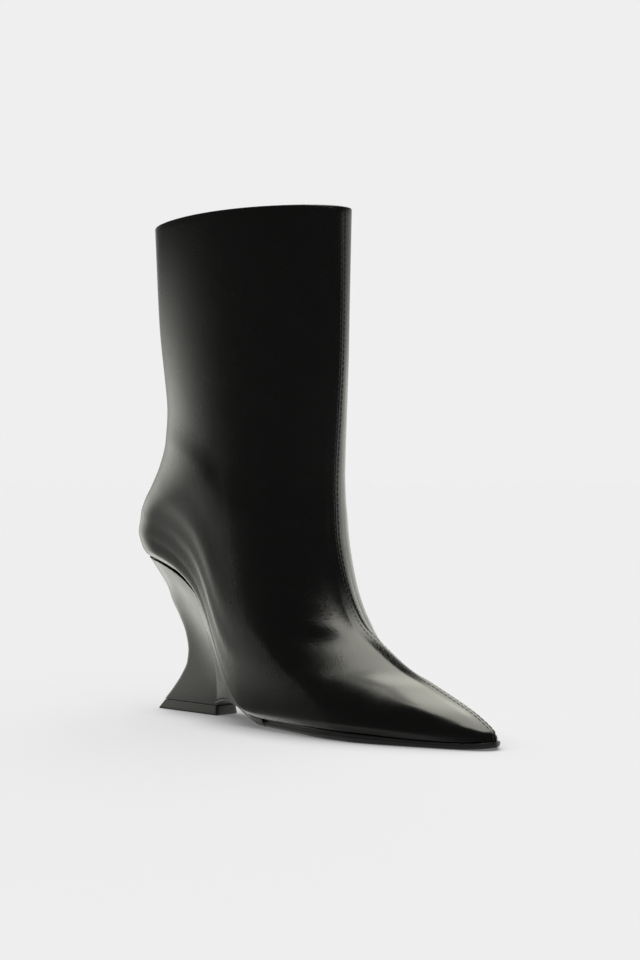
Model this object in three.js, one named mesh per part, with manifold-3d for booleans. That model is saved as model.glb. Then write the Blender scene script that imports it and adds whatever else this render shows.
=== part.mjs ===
// A right ankle boot with a pointed toe, a tall straight-cut shaft and a sculpted wedge heel.
// Units are millimetres. +X points to the toe, +Y to the inner side of the foot and +Z up.
// The pieces are drawn with x = 0 at the back of the heel and z = 0 on the floor, and the
// finished group is then moved so that its origin is the middle of the boot on the floor.

import * as THREE from 'three';
import { mergeVertices } from 'three/addons/utils/BufferGeometryUtils.js';
import Module from 'manifold-3d';

const wasm = await Module();
wasm.setup();

// Driving sizes of the last and the shaft
const footLength = 254.6; // back of the heel to the tip of the toe
const ballWidth = 70; // widest place of the forefoot
const heelHeight = 89; // floor to the seat of the heel, at the back
const counterHeight = 66; // seat of the heel to the narrow of the ankle, at the back
const instepHeight = 105; // floor to the bend of the front line
const shaftHeight = 119; // narrow of the ankle to the collar, at the back
const collarLength = 145.4; // collar from front to back
const collarWidth = 59; // collar from side to side
const toeSpring = 1.6; // lift of the sole's tip
const springStart = 0.9; // where that lift starts, in shares of footLength

// Walls, layers and fits
const wall = 1.8; // leather and lining together
const seamRise = 1; // front seam above the leather beside it
const collarFold = 0.5; // crown of the folded collar edge
const collarBow = 1.6; // how much higher the collar is at its sides than at front and back
const soleThickness = 2.8; // outsole at the toe
const shankCover = 2.2; // outsole where it lines the arched gap
const soleBevel = 1.3; // how far the sole's edge leans in
const insoleThickness = 2;
const insoleClearance = 0.9; // insole inside the upper's wall
const fitGap = 0.3; // clearance between neighbouring pieces
const seatGap = 0.4; // clearance between the upper and the wedge's curved seat
const wedgeInset = 0.9; // wedge's side behind the edge of the upper
const wedgeBackInset = 2.8; // wedge's back in front of the upper's
const topPieceInset = 0.6; // top piece's back in front of the wedge's, where they meet

// Heel base
const topPieceHeight = 5.5;
const topPieceFlare = 4.6; // backward flare of the top piece
const topPieceLean = 0.7; // flare of its sides and front
const topPieceEdge = 0.5; // worn edge round its underside
const baseBack = 13.2; // back of the wedge's base
const baseFront = 59; // front of the wedge's base
const baseWidth = 14.6;
const baseCorner = 8; // squareness of the base's corners
const archHeight = 8.6; // arched gap between the heel base and the forefoot
const archEnd = 0.424; // where the sole leaves the floor, in shares of footLength
const archEase = 1.4; // above 1, the arch leaves the floor in a soft curve
const archShare = 0.78; // part of a half wave that the arch runs through
const liningEnd = 0.6; // lined arch in front of the heel base
const wedgeEnd = 0.44; // front end of the wedge, in shares of footLength
const wedgeFlare = 6; // how late the back of the wedge opens out to the seat
const flareStart = 0.4; // in front of this share of the wedge its sides open out evenly
const flareGrowth = 1.5; // how slowly the late opening sets in from there to the back
const bowFlare = 3; // how far back in the wedge its hollow back is felt

// Asymmetry of the last: the inner side is fuller and its widest place lies further forward
const innerFuller = 1.04;
const innerForward = 0.9;
const innerWaist = 0.05;
const sidedLevels = 0.2; // level at which both sides have become alike

// Where the rounding of an end starts, in shares of the length of its loop
const baseRound = 0.93; // back of the wedge at its base
const seatRound = 0.74; // back of the wedge at the seat
const noseRound = 0.97; // front end of the wedge
const topPieceRound = 0.94; // both ends of the top piece

// Fineness of the meshes
const levelCount = 27;
const levelCrowding = 1.25; // draws the upper's loops towards the feather edge
const pointCount = 64;
const wedgeRings = 13;
const wedgePoints = 52;
const topPiecePoints = 40;
const soleStations = 26;
const stationCrowding = 1.6; // draws the sole's stations towards the toe
const archStations = 14;
const stepRun = 0.1; // the outsole's step behind the wedge's front end
const archCrowding = 0.085; // draws a loop's points towards the steep part of the last's bottom
const archPlace = 0.66; // where that part is, counted along a loop from its front

const slopeReach = 0.25; // half the length over which a slope is measured
const levelReach = 0.005; // the same in levels

const collarHeight = heelHeight + counterHeight + shaftHeight;
const soleTop = soleThickness + fitGap;
const archFront = archEnd * footLength;
const wedgeFront = wedgeEnd * footLength;

// The bottom of the last from the heel to the toe: x in shares of footLength, and the rise in
// shares of the height from the sole's top to the seat of the heel.
const bottomLine = [
  { along: 0.0, rise: 1.02 },
  { along: 0.04, rise: 1.011 },
  { along: 0.11, rise: 0.978 },
  { along: 0.172, rise: 0.91 },
  { along: 0.222, rise: 0.818 },
  { along: 0.256, rise: 0.722 },
  { along: 0.29, rise: 0.56 },
  { along: 0.315, rise: 0.393 },
  { along: 0.345, rise: 0.21 },
  { along: 0.375, rise: 0.094 },
  { along: 0.405, rise: 0.035 },
  { along: 0.45, rise: 0.021 },
  { along: 0.55, rise: 0.024 },
  { along: 0.65, rise: 0.026 },
  { along: 0.75, rise: 0.021 },
  { along: 0.86, rise: 0.01 },
  { along: 1.0, rise: 0.0 },
];

// The boot's level sections from the feather edge (level 0) to the collar (level 1).
// frontUp: front height from the last's bottom (0) to instepHeight (1); backUp: back height from
// the seat (0) to the narrow of the ankle (1); shaft: both heights from there to the collar.
// leg: 0 takes length and width from the foot, 1 from the collar. middle: centre in shares of
// footLength; reach and full: length and width in shares of that foot or collar size.
// widest: where the section is widest, counted from its front. tip: 0.5 is a round front, near 1
// a sharp one. fair: 2 swells like an ellipse, 1.4 runs nearly straight to the front. heel: width
// of the heel part. waist: hollow behind the ball. round: where the rounding of the back starts.
// straight: 0 follows the last's bottom, 1 is a straight line.
const sections = [
  { level: 0.0, frontUp: 0.0, backUp: 0.0, shaft: 0, leg: 0, middle: 0.504, reach: 0.987,
    full: 0.93, widest: 0.32, tip: 0.72, fair: 1.4, heel: 0.86, waist: 0.24, round: 0.8, straight: 0 },
  { level: 0.05, frontUp: 0.043, backUp: 0.06, shaft: 0, leg: 0, middle: 0.4985, reach: 0.982,
    full: 0.99, widest: 0.32, tip: 0.72, fair: 1.42, heel: 0.86, waist: 0.1, round: 0.82, straight: 0 },
  { level: 0.12, frontUp: 0.108, backUp: 0.182, shaft: 0, leg: 0, middle: 0.4795, reach: 0.954,
    full: 1.0, widest: 0.32, tip: 0.74, fair: 1.48, heel: 0.84, waist: 0.07, round: 0.85, straight: 0.02 },
  { level: 0.21, frontUp: 0.224, backUp: 0.3, shaft: 0, leg: 0, middle: 0.4265, reach: 0.846,
    full: 0.98, widest: 0.32, tip: 0.84, fair: 1.55, heel: 0.84, waist: 0.04, round: 0.82, straight: 0.08 },
  { level: 0.27, frontUp: 0.292, backUp: 0.375, shaft: 0, leg: 0, middle: 0.39, reach: 0.77,
    full: 0.965, widest: 0.32, tip: 0.94, fair: 1.65, heel: 0.84, waist: 0.02, round: 0.8, straight: 0.12 },
  { level: 0.33, frontUp: 0.38, backUp: 0.47, shaft: 0, leg: 0, middle: 0.361, reach: 0.7,
    full: 0.943, widest: 0.33, tip: 0.9, fair: 1.8, heel: 0.85, waist: 0.01, round: 0.75, straight: 0.19 },
  { level: 0.41, frontUp: 0.51, backUp: 0.612, shaft: 0, leg: 0.1, middle: 0.3317, reach: 0.6357,
    full: 0.94, widest: 0.36, tip: 0.52, fair: 1.95, heel: 0.87, waist: 0, round: 0.62, straight: 0.3 },
  { level: 0.5, frontUp: 0.735, backUp: 0.79, shaft: 0, leg: 0.3, middle: 0.3191, reach: 0.6236,
    full: 0.945, widest: 0.38, tip: 0.48, fair: 2, heel: 0.9, waist: 0, round: 0.45, straight: 0.45 },
  { level: 0.6, frontUp: 1.0, backUp: 1.0, shaft: 0, leg: 0.6, middle: 0.3162, reach: 0.6811,
    full: 0.98, widest: 0.41, tip: 0.46, fair: 2, heel: 0.95, waist: 0, round: 0.25, straight: 0.62 },
  { level: 0.72, frontUp: 1.0, backUp: 1.0, shaft: 0.14, leg: 0.8, middle: 0.315, reach: 0.763,
    full: 0.965, widest: 0.45, tip: 0.46, fair: 2, heel: 1.0, waist: 0, round: 0.05, straight: 0.8 },
  { level: 0.86, frontUp: 1.0, backUp: 1.0, shaft: 0.56, leg: 1, middle: 0.309, reach: 0.963,
    full: 0.97, widest: 0.5, tip: 0.48, fair: 2, heel: 1.0, waist: 0, round: 0, straight: 0.95 },
  { level: 1.0, frontUp: 1.0, backUp: 1.0, shaft: 1.0, leg: 1, middle: 0.305, reach: 1.0,
    full: 1.0, widest: 0.5, tip: 0.47, fair: 2, heel: 1.0, waist: 0, round: 0, straight: 1 },
];

// Half-widths of the sole's outline on the outer and inner side, in shares of half the ball
// width, at places in shares of footLength.
const soleOutline = [
  { along: 0.236, outer: 0.25, inner: 0.25 },
  { along: 0.3, outer: 0.36, inner: 0.35 },
  { along: 0.35, outer: 0.47, inner: 0.44 },
  { along: 0.394, outer: 0.55, inner: 0.51 },
  { along: 0.441, outer: 0.62, inner: 0.57 },
  { along: 0.504, outer: 0.715, inner: 0.67 },
  { along: 0.56, outer: 0.8, inner: 0.77 },
  { along: 0.61, outer: 0.872, inner: 0.86 },
  { along: 0.66, outer: 0.908, inner: 0.92 },
  { along: 0.71, outer: 0.905, inner: 0.93 },
  { along: 0.76, outer: 0.84, inner: 0.87 },
  { along: 0.82, outer: 0.69, inner: 0.71 },
  { along: 0.88, outer: 0.53, inner: 0.54 },
  { along: 0.93, outer: 0.395, inner: 0.395 },
  { along: 0.96, outer: 0.3, inner: 0.3 },
  { along: 0.98, outer: 0.215, inner: 0.215 },
  { along: 0.992, outer: 0.12, inner: 0.12 },
  { along: 0.9975, outer: 0.035, inner: 0.035 },
];

// The wedge's hollow back: how far it lies in front of a straight line from the base to the
// seat, in shares of footLength, at heights in shares of the wedge's own height.
const hollowBack = [
  { up: 0.0, hollow: 0.0 },
  { up: 0.09, hollow: 0.0338 },
  { up: 0.17, hollow: 0.06 },
  { up: 0.27, hollow: 0.0839 },
  { up: 0.36, hollow: 0.0901 },
  { up: 0.46, hollow: 0.0836 },
  { up: 0.57, hollow: 0.0647 },
  { up: 0.67, hollow: 0.044 },
  { up: 0.78, hollow: 0.0323 },
  { up: 0.88, hollow: 0.0147 },
  { up: 1.0, hollow: 0.0 },
];

const mix = THREE.MathUtils.lerp;
const clamp01 = (t) => THREE.MathUtils.clamp(t, 0, 1);

// A smooth curve through a table's rows that never overshoots between two of them.
function smoothCurve(rows, at, value) {
  const xs = rows.map(at);
  const ys = rows.map(value);
  const steps = xs.slice(1).map((x, i) => x - xs[i]);
  const grades = steps.map((h, i) => (ys[i + 1] - ys[i]) / h);
  const last = xs.length - 1;
  const slopes = xs.map((_, i) => {
    if (i === 0) return grades[0];
    if (i === last) return grades[last - 1];
    if (grades[i - 1] * grades[i] <= 0) return 0;
    const before = 2 * steps[i] + steps[i - 1];
    const after = steps[i] + 2 * steps[i - 1];
    return (before + after) / (before / grades[i - 1] + after / grades[i]);
  });
  return (x) => {
    const held = THREE.MathUtils.clamp(x, xs[0], xs[last]);
    let i = 0;
    while (i < last - 1 && held > xs[i + 1]) i += 1;
    const h = steps[i];
    const t = (held - xs[i]) / h;
    const s = 1 - t;
    return (1 + 2 * t) * s * s * ys[i] + t * s * s * h * slopes[i]
      + t * t * (3 - 2 * t) * ys[i + 1] - t * t * s * h * slopes[i + 1];
  };
}

const riseAt = smoothCurve(bottomLine, (r) => r.along, (r) => r.rise);

// Lift of the sole's underside at the very tip of the toe
function toeLift(x) {
  return toeSpring * clamp01((x / footLength - springStart) / (1 - springStart)) ** 3;
}

// Height of the last's bottom above the floor
function bottomHeight(x) {
  return soleTop + riseAt(x / footLength) * (heelHeight - soleTop) + toeLift(x);
}

// The point at x on the last's bottom, moved away from it: up where distance is positive
function offBottom(x, distance) {
  const slope = (bottomHeight(x + slopeReach) - bottomHeight(x - slopeReach)) / (2 * slopeReach);
  const scale = distance / Math.hypot(1, slope);
  return { x: x - slope * scale, z: bottomHeight(x) + scale };
}

// The table's rows turned into real sizes
const levels = sections.map((row) => {
  const length = row.reach * mix(footLength, collarLength, row.leg);
  const frontX = row.middle * footLength + length / 2;
  const backX = row.middle * footLength - length / 2;
  const ankleHeight = heelHeight + counterHeight;
  return {
    ...row,
    frontX,
    backX,
    frontZ: mix(bottomHeight(frontX), instepHeight, row.frontUp)
      + row.shaft * (collarHeight - instepHeight),
    backZ: mix(bottomHeight(backX), ankleHeight, row.backUp) + row.shaft * shaftHeight,
    half: (row.full * mix(ballWidth, collarWidth, row.leg)) / 2,
  };
});
const columns = ['frontX', 'frontZ', 'backX', 'backZ', 'half', 'leg', 'shaft',
  'widest', 'tip', 'fair', 'heel', 'waist', 'round', 'straight'];
const columnCurves = columns.map((name) => smoothCurve(levels, (r) => r.level, (r) => r[name]));

function sectionAt(level) {
  const section = Object.fromEntries(columns.map((name, i) => [name, columnCurves[i](level)]));
  section.sided = clamp01(1 - level / sidedLevels) ** 2;
  return section;
}

// A section moved inward by a wall: its front and back points go along the side view's normals.
// A pointed front moves further than a round one, so that its walls keep their thickness.
const roundTip = 0.48;
const pointedGain = 1.4;
const seatedLevels = 0.1; // level up to which the wall still follows the last's bottom

function insetSection(level, inset) {
  const section = sectionAt(level);
  if (inset === 0) return section;
  const below = sectionAt(Math.max(level - levelReach, 0));
  const above = sectionAt(Math.min(level + levelReach, 1));
  const front = new THREE.Vector2(above.frontX - below.frontX, above.frontZ - below.frontZ);
  const back = new THREE.Vector2(above.backX - below.backX, above.backZ - below.backZ);
  front.normalize();
  back.normalize();
  const pointed = 1 + pointedGain * (section.tip - roundTip);
  const seated = clamp01(level / seatedLevels);
  section.frontX -= inset * pointed * front.y;
  section.frontZ += inset * pointed * front.x * seated;
  section.backX += inset * back.y;
  section.backZ -= inset * back.x * seated;
  section.half -= inset;
  return section;
}

// Width along a section without the rounding of its back, and with it
function openHalfWidth(section, share, inner) {
  const foot = inner ? section.sided : 0;
  const widest = section.widest * mix(1, innerForward, foot);
  const waist = section.waist + innerWaist * foot * (section.waist > 0 ? 1 : 0);
  const ahead = clamp01(share / widest);
  const behind = clamp01((share - widest) / (1 - widest));
  const eased = behind * behind * (3 - 2 * behind);
  const ball = section.half * mix(1, innerFuller, foot * (1 - eased));
  const taper = (1 - (1 - ahead) ** section.fair) ** section.tip;
  return ball * taper * (mix(1, section.heel, eased) - waist * Math.sin(Math.PI * behind) ** 2);
}

function halfWidth(section, share, inner) {
  const widest = section.widest * mix(1, innerForward, inner ? section.sided : 0);
  const behind = clamp01((share - widest) / (1 - widest));
  const turn = clamp01((behind - section.round) / (1 - section.round));
  return openHalfWidth(section, share, inner) * Math.sqrt(1 - turn * turn);
}

// One closed loop of the upper, from the front round the outer side to the back and home
function upperLoop(level, inset) {
  const section = insetSection(level, inset);
  const frontLift = section.frontZ - bottomHeight(section.frontX);
  const backLift = section.backZ - bottomHeight(section.backX);
  const loop = [];
  for (let j = 0; j < pointCount; j += 1) {
    const even = (1 - Math.cos((2 * Math.PI * j) / pointCount)) / 2;
    const phase = 2 * Math.PI * (0.5 - archPlace);
    const share = even + archCrowding * (Math.sin(2 * Math.PI * even + phase) - Math.sin(phase));
    const inner = j > pointCount / 2;
    const x = mix(section.frontX, section.backX, share);
    const onLast = bottomHeight(x) + mix(frontLift, backLift, share);
    const onLine = mix(section.frontZ, section.backZ, share);
    const bow = collarBow * section.shaft ** 4 * Math.sin(Math.PI * share);
    const y = halfWidth(section, share, inner) * (inner ? 1 : -1);
    loop.push(new THREE.Vector3(x, y, mix(onLast, onLine, section.straight) + bow));
  }
  return loop;
}

// Raises the seam that runs down the middle of the front
function raiseSeam(loop) {
  const outward = loop[0].clone().sub(loop[1].clone().add(loop[pointCount - 1]).divideScalar(2));
  const tangent = new THREE.Vector3(0, 1, 0);
  outward.projectOnPlane(tangent).normalize();
  loop[0].addScaledVector(outward, seamRise);
}

// A closed solid from a stack of rings. Joined ends wrap the stack round to its first ring;
// laddered ends are closed by rungs between the two sides of a ring.
function solidFromRings(rings, joined) {
  const count = rings[0].length;
  const positions = rings.flat().flatMap((p) => [p.x, p.y, p.z]);
  const index = [];
  const quad = (a, b, c, d) => index.push(a, b, c, a, c, d);
  const stacks = joined ? rings.length : rings.length - 1;
  for (let i = 0; i < stacks; i += 1) {
    const next = ((i + 1) % rings.length) * count;
    for (let j = 0; j < count; j += 1) {
      const k = (j + 1) % count;
      quad(i * count + j, i * count + k, next + k, next + j);
    }
  }
  const ladder = (start, flip) => {
    const corner = (j) => start + (j % count);
    for (let j = 0; j < count / 2; j += 1) {
      const rung = [corner(j), corner(j + 1), corner(count - j - 1), corner(count - j)];
      if (flip) rung.reverse();
      if (j === 0) index.push(rung[0], rung[1], rung[2]);
      else if (j === count / 2 - 1) index.push(rung[0], rung[1], rung[3]);
      else quad(...rung);
    }
  };
  if (!joined) {
    ladder(0, true);
    ladder((rings.length - 1) * count, false);
  }
  return facingOut(positions, index);
}

// Turns the faces round if the mesh is inside out, and merges its shared corners
function facingOut(positions, index) {
  const corner = (i) => new THREE.Vector3().fromArray(positions, 3 * i);
  let volume = 0;
  for (let i = 0; i < index.length; i += 3) {
    const [a, b, c] = index.slice(i, i + 3).map(corner);
    volume += a.dot(b.cross(c));
  }
  const geometry = new THREE.BufferGeometry();
  geometry.setAttribute('position', new THREE.Float32BufferAttribute(positions, 3));
  geometry.setIndex(volume < 0 ? index.reverse() : index);
  return mergeVertices(geometry, 1e-4);
}

function makeUpper() {
  const outside = [];
  const inside = [];
  for (let i = 0; i < levelCount; i += 1) {
    const level = (i / (levelCount - 1)) ** levelCrowding;
    const loop = upperLoop(level, 0);
    raiseSeam(loop);
    outside.push(loop);
    inside.unshift(upperLoop(level, wall));
  }
  const crown = upperLoop(1, wall / 2).map((p) => p.setZ(p.z + collarFold));
  return solidFromRings([...outside, crown, ...inside], true);
}

// The insole lies just above the last's bottom, inside the wall
function makeInsole() {
  const outline = upperLoop(0, wall + insoleClearance);
  const layer = (height) => outline.map((p) => {
    const spot = offBottom(p.x, height);
    return new THREE.Vector3(spot.x, p.y, spot.z);
  });
  return solidFromRings([layer(fitGap), layer(fitGap + insoleThickness)], false);
}

const outerEdge = smoothCurve(soleOutline, (r) => r.along, (r) => r.outer);
const innerEdge = smoothCurve(soleOutline, (r) => r.along, (r) => r.inner);

function soleEdge(x, inner) {
  return ((inner ? innerEdge : outerEdge)(x / footLength) * ballWidth) / 2;
}

// Underside of the sole: flat under the forefoot, arched in front of the heel base
function archUnderside(x) {
  const run = Math.max(archFront - x, 0) / (archFront - baseFront);
  return archHeight * Math.sin(Math.PI * archShare * run ** archEase);
}

// The point of the underside at x, moved up along its normal
function archPoint(x, distance) {
  const slope = (archUnderside(x + slopeReach) - archUnderside(x - slopeReach)) / (2 * slopeReach);
  const normal = new THREE.Vector2(-slope, 1).normalize();
  return normal.multiplyScalar(distance).add(new THREE.Vector2(x, archUnderside(x)));
}

// One section of the outsole: from the inner top edge, under the sole, to the outer top edge.
// Its side is a little rounded: most of the bevel lies below this share of its height.
const bevelStart = 0.4;
const bevelShare = 0.25; // part of the bevel that lies above it

function soleSection(bottom, top) {
  const side = (inner) => {
    const sign = inner ? 1 : -1;
    const edge = soleEdge(bottom.x, inner);
    const bevel = Math.min(soleBevel, edge / 2);
    const middle = bottom.clone().lerp(top, bevelStart);
    return [
      new THREE.Vector3(top.x, sign * edge, top.y),
      new THREE.Vector3(middle.x, sign * (edge - bevel * bevelShare), middle.y),
      new THREE.Vector3(bottom.x, sign * (edge - bevel), bottom.y),
    ];
  };
  return [...side(true), ...side(false).reverse()];
}

function makeOutsole() {
  const stations = [];
  const tip = soleOutline.at(-1).along * footLength;
  for (let i = 0; i <= soleStations; i += 1) {
    const x = mix(tip, wedgeFront + fitGap + stepRun, (i / soleStations) ** stationCrowding);
    const bottom = new THREE.Vector2(x, toeLift(x));
    stations.push(soleSection(bottom, new THREE.Vector2(x, bottomHeight(x) - fitGap)));
  }
  for (let i = 0; i <= archStations; i += 1) {
    const x = mix(wedgeFront + fitGap, baseFront + liningEnd, i / archStations);
    stations.push(soleSection(archPoint(x, 0), archPoint(x, shankCover)));
  }
  return solidFromRings(stations, false);
}

const hollowAt = smoothCurve(hollowBack, (r) => r.up, (r) => r.hollow);

// 0 at an end and 1 away from it; a high power gives square corners, 2 a round end
function endClosing(share, start, power) {
  const turn = clamp01((share - start) / (1 - start));
  return (1 - turn ** power) ** (1 / power);
}

// Block of the wedge, from its base and the low outline in front of it up to the last's bottom
function wedgeBlock() {
  const feather = insetSection(0, wedgeInset);
  const seatBack = sectionAt(0).backX + wedgeBackInset;
  const floor = topPieceHeight + fitGap;
  const rings = [];
  for (let i = 0; i <= wedgeRings; i += 1) {
    const up = i / wedgeRings;
    const bow = hollowAt(up) * footLength;
    const ring = [];
    for (let j = 0; j < wedgePoints; j += 1) {
      const share = (1 - Math.cos((2 * Math.PI * j) / wedgePoints)) / 2;
      const inner = j > wedgePoints / 2;
      const lowX = mix(wedgeFront, baseBack, share);
      const lowZ = floor * (1 - clamp01((lowX - baseFront) / (wedgeFront - baseFront)));
      const high = offBottom(mix(wedgeFront, seatBack, share), -seatGap);
      const along = (feather.frontX - high.x) / (feather.frontX - feather.backX);
      const low = lowX < baseFront ? baseWidth / 2 : soleEdge(lowX, inner);
      const wide = openHalfWidth(feather, clamp01(along), inner);
      const late = clamp01((share - flareStart) / (1 - flareStart)) ** flareGrowth;
      const opened = up ** (1 + wedgeFlare * late);
      const ends = endClosing(share, mix(baseRound, seatRound, up), mix(baseCorner, 2, up))
        * endClosing(1 - share, noseRound, baseCorner);
      ring.push(new THREE.Vector3(
        mix(lowX, high.x, up) + bow * share ** bowFlare,
        (inner ? 1 : -1) * ends * mix(low, wide, opened),
        mix(lowZ, high.z, up),
      ));
    }
    rings.push(ring);
  }
  return solidFromRings(rings, false);
}

// The arched gap together with the outsole's lining of it, as a block across the whole boot
function archBlock() {
  const rear = baseFront + liningEnd - fitGap;
  const front = wedgeFront + fitGap;
  const outline = new THREE.Shape();
  outline.moveTo(rear, -footLength);
  outline.lineTo(front, -footLength);
  for (let i = 0; i <= archStations; i += 1) {
    const roof = archPoint(mix(front, rear, i / archStations), shankCover + fitGap);
    outline.lineTo(roof.x, roof.y);
  }
  outline.lineTo(rear, archUnderside(rear));
  const block = new THREE.ExtrudeGeometry(outline, { depth: footLength, bevelEnabled: false });
  return block.translate(0, 0, -footLength / 2).rotateX(Math.PI / 2);
}

function toSolid(geometry) {
  geometry.deleteAttribute('normal');
  geometry.deleteAttribute('uv');
  const merged = mergeVertices(geometry, 1e-4);
  return new wasm.Manifold(new wasm.Mesh({
    numProp: 3,
    vertProperties: merged.getAttribute('position').array,
    triVerts: new Uint32Array(merged.getIndex().array),
  }));
}

function makeWedge() {
  const mesh = toSolid(wedgeBlock()).subtract(toSolid(archBlock())).getMesh();
  const geometry = new THREE.BufferGeometry();
  geometry.setAttribute('position', new THREE.BufferAttribute(mesh.vertProperties, 3));
  geometry.setIndex(new THREE.BufferAttribute(mesh.triVerts, 1));
  return geometry;
}

// The hard-wearing top piece under the wedge's base flares out towards the floor
const wornFlare = 0.93; // flare that is left on the floor, below the worn edge

function makeTopPiece() {
  const ring = (z, flare) => Array.from({ length: topPiecePoints }, (_, j) => {
    const share = (1 - Math.cos((2 * Math.PI * j) / topPiecePoints)) / 2;
    const sign = j > topPiecePoints / 2 ? 1 : -1;
    const front = baseFront + flare * topPieceLean;
    const back = baseBack + topPieceInset - flare * topPieceFlare;
    const ends = endClosing(share, topPieceRound, baseCorner)
      * endClosing(1 - share, topPieceRound, baseCorner);
    const half = baseWidth / 2 + flare * topPieceLean;
    return new THREE.Vector3(mix(front, back, share), sign * ends * half, z);
  });
  const rings = [ring(topPieceHeight, 0), ring(topPieceEdge, 1), ring(0, wornFlare)];
  return solidFromRings(rings, false);
}

function piece(name, geometry, color, roughness) {
  const material = new THREE.MeshStandardMaterial({ color, roughness, metalness: 0 });
  const mesh = new THREE.Mesh(geometry, material);
  mesh.name = name;
  return mesh;
}

const boot = new THREE.Group();
boot.add(
  piece('upper', makeUpper(), 0x111210, 0.28),
  piece('insole', makeInsole(), 0x1a1a1a, 0.6),
  piece('outsole', makeOutsole(), 0x101010, 0.45),
  piece('wedge_heel', makeWedge(), 0x111210, 0.3),
  piece('top_piece', makeTopPiece(), 0x0b0b0b, 0.6),
);

const extent = new THREE.Box3().setFromObject(boot);
boot.position.set(
  -(extent.min.x + extent.max.x) / 2,
  -(extent.min.y + extent.max.y) / 2,
  -extent.min.z,
);

export default boot;
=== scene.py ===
"""Looks of a right ankle boot: polished black leather, a raised front seam and a sculpted wedge heel."""

from math import cos, pi, radians, sin, sqrt

import bmesh
import bpy
import numpy as np
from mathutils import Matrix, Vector


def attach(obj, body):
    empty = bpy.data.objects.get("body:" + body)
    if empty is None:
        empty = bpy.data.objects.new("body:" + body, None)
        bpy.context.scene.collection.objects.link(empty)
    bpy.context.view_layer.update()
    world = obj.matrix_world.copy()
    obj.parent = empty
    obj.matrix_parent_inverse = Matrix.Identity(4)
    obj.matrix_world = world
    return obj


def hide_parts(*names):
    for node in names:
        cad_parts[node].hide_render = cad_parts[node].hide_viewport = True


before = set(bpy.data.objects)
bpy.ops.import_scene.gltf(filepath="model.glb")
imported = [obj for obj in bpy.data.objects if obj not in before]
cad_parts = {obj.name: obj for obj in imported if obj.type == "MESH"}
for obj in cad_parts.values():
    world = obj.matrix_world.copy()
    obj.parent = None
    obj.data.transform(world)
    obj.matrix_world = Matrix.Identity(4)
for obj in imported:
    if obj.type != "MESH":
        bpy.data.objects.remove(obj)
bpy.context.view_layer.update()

# Sizes in millimetres, in the drawing frame: x = 0 at the back of the heel, z = 0 on the floor
FOOT_LENGTH = 254.6
BALL_WIDTH = 70.0
HEEL_HEIGHT = 89.0
COUNTER_HEIGHT = 66.0
INSTEP_HEIGHT = 105.0
SHAFT_HEIGHT = 119.0
COLLAR_LENGTH = 145.4
COLLAR_WIDTH = 59.0
COLLAR_BOW = 1.6
COLLAR_FOLD = 0.5
COLLAR_HEIGHT = HEEL_HEIGHT + COUNTER_HEIGHT + SHAFT_HEIGHT
TOE_SPRING = 1.6
SPRING_START = 0.9
WALL = 1.8
FIT_GAP = 0.3
SEAT_GAP = 0.4
SOLE_THICKNESS = 2.8
SOLE_TOP = SOLE_THICKNESS + FIT_GAP
SHANK_COVER = 2.2
INSOLE_THICKNESS = 2.0
INSOLE_CLEARANCE = 0.9
WEDGE_INSET = 0.9
WEDGE_BACK_INSET = 2.8
TOP_PIECE_HEIGHT = 5.5
TOP_PIECE_FLARE = 4.6
TOP_PIECE_LEAN = 0.7
TOP_PIECE_INSET = 0.6
BASE_BACK = 13.2
BASE_FRONT = 59.0
BASE_WIDTH = 14.6
BASE_CORNER = 8.0
ARCH_HEIGHT = 8.6
ARCH_FRONT = 0.424 * FOOT_LENGTH
ARCH_EASE = 1.4
ARCH_SHARE = 0.78
LINING_END = 0.6
WEDGE_FRONT = 0.44 * FOOT_LENGTH
WEDGE_FLARE = 6
FLARE_START = 0.4
FLARE_GROWTH = 1.5
RECESS_DEPTH = 3.2
RECESS_HEIGHT = 1.35
INNER_FULLER = 1.04
INNER_FORWARD = 0.9
INNER_WAIST = 0.05
SIDED_LEVELS = 0.2
SEATED_LEVELS = 0.1
POINT_SHARE = 1.4
ROUND_TIP = 0.48
LEVEL_REACH = 0.005
SLOPE_REACH = 0.25

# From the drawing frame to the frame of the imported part
SHIFT = np.array([-127.79578, -0.18601, 0.0])

# The last's bottom: share of the length, and share of the heel's height
BOTTOM_LINE = [
    (0.0, 1.02), (0.04, 1.011), (0.11, 0.978), (0.172, 0.91), (0.222, 0.818), (0.256, 0.722),
    (0.29, 0.56), (0.315, 0.393), (0.345, 0.21), (0.375, 0.094), (0.405, 0.035), (0.45, 0.021),
    (0.55, 0.024), (0.65, 0.026), (0.75, 0.021), (0.86, 0.01), (1.0, 0.0)]

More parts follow.
